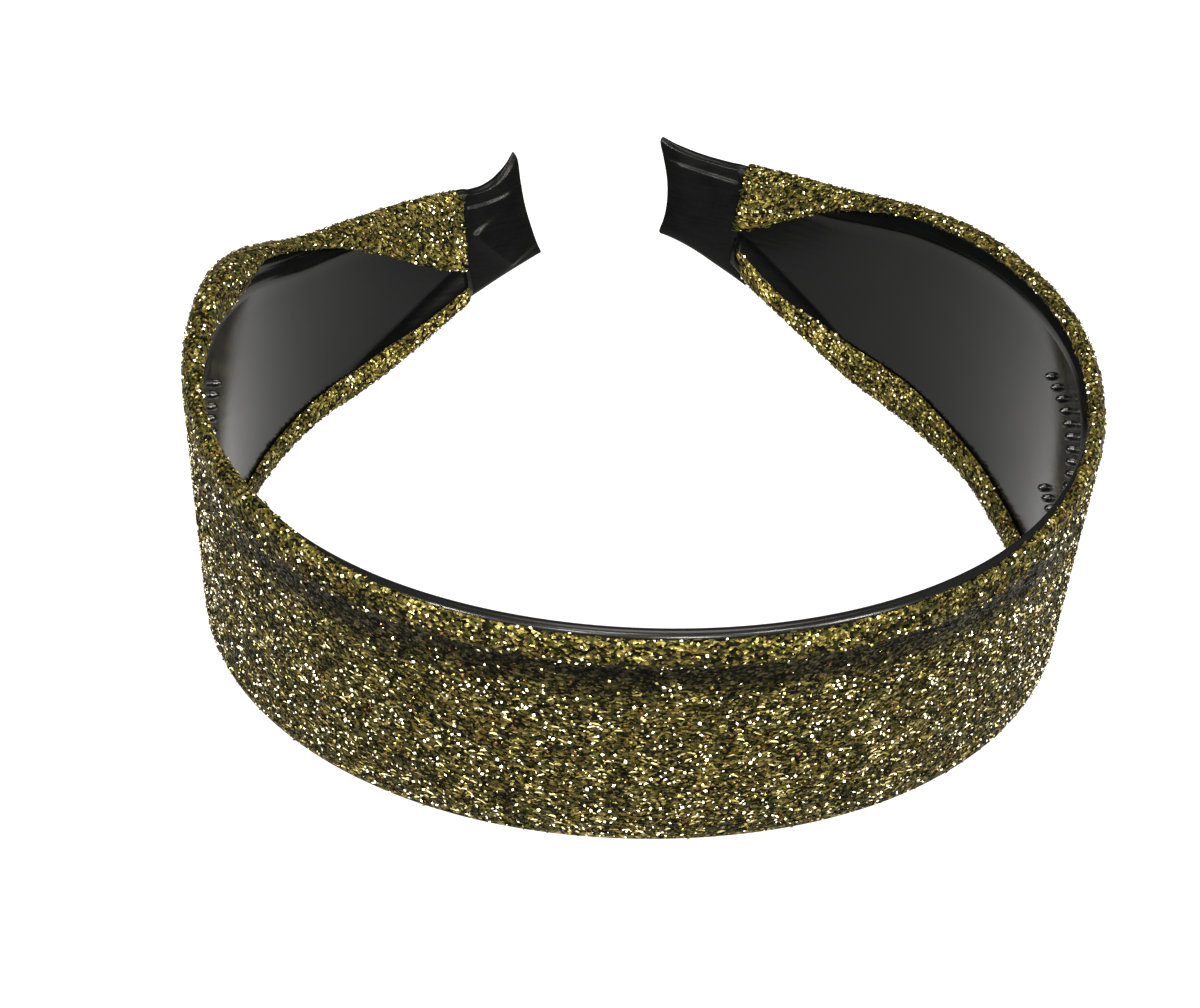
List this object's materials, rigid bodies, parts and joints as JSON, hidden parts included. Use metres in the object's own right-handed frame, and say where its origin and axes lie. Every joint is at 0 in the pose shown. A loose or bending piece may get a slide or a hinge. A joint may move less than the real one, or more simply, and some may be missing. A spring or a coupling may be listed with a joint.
{
  "type": "headband",
  "caption": "Wide hard headband: a black moulded band with inner comb teeth, wrapped in gold and black glitter cloth, with a black sleeve on each end. Worn round the head.",
  "frame": {"origin": "middle of the bounding box, on the surface that the lower edge rests on", "axes": "+Z from the lower edge to the upper edge, -Y toward the front, +Y toward the two ends, +X toward the right end seen from the front"},
  "size_m": [0.1282, 0.141, 0.0449],
  "materials": {
    "black_plastic": "glossy moulded",
    "glitter_cloth": "gold metallic yarn on a dark ground",
    "black_film": "satin shrunk film"
  },
  "bodies": {
    "root": {"core_band": "black_plastic", "glitter_cover": "glitter_cloth", "end_cap_left": "black_film", "end_cap_right": "black_film"}
  },
  "joints": []
}
